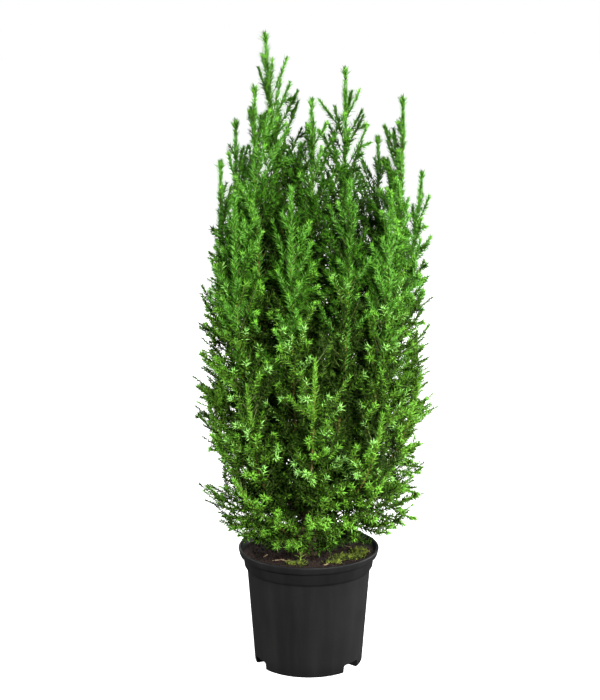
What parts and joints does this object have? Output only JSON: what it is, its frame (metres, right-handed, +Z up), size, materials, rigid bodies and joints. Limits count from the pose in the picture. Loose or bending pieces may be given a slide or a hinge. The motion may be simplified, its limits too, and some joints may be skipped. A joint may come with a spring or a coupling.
{
  "type": "potted false cypress",
  "caption": "Young upright false cypress, a feathery column of pointed plumes, in a round black nursery pot filled with soil.",
  "frame": {"origin": "middle of the pot's flat underside, on the ground", "axes": "+Z up, -Y towards the side that the picture shows, +X to that view's right"},
  "size_m": [0.2915, 0.2855, 0.7583],
  "materials": {
    "pot": "satin black moulded plastic",
    "soil": "damp dark brown compost",
    "bark": "rough brown bark",
    "young_foliage": "bright yellow-green young needles",
    "foliage": "mid green needles with a blue-grey cast"
  },
  "bodies": {
    "root": {"bough_back_left": "bark", "bough_back_middle": "bark", "bough_back_right": "bark", "bough_centre": "bark", "bough_front_centre": "bark", "bough_front_left": "bark", "bough_front_left_low": "bark", "bough_front_right": "bark", "bough_left_outer": "bark", "bough_left_shoulder": "bark", "bough_right": "bark", "bough_right_front": "bark", "bough_right_outer": "bark", "bough_second": "bark", "plume_back_left": "young_foliage", "plume_back_middle": "young_foliage", "plume_back_right": "young_foliage", "plume_centre": "young_foliage", "plume_front_centre": "young_foliage", "plume_front_left": "young_foliage", "plume_front_left_low": "young_foliage", "plume_front_right": "young_foliage", "plume_left_outer": "young_foliage", "plume_left_shoulder": "young_foliage", "plume_right": "young_foliage", "plume_right_front": "young_foliage", "plume_right_outer": "young_foliage", "plume_second": "young_foliage", "plume_top": "young_foliage", "pot": "pot", "side_back_left": "foliage", "side_back_middle": "foliage", "side_back_right": "foliage", "side_bough_back_left": "bark", "side_bough_back_middle": "bark", "side_bough_back_right": "bark", "side_bough_front_centre": "bark", "side_bough_front_left_low": "bark", "side_bough_front_right": "bark", "side_bough_left_outer": "bark", "side_bough_left_shoulder": "bark", "side_bough_right_front": "bark", "side_bough_right_outer": "bark", "side_front_centre": "foliage", "side_front_left_low": "foliage", "side_front_right": "foliage", "side_left_outer": "foliage", "side_left_shoulder": "foliage", "side_right_front": "foliage", "side_right_outer": "foliage", "skirt_1": "foliage", "skirt_2": "foliage", "skirt_3": "foliage", "skirt_4": "foliage", "skirt_5": "foliage", "skirt_6": "foliage", "skirt_7": "foliage", "skirt_8": "foliage", "soil": "soil", "trunk": "bark"}
  },
  "joints": []
}
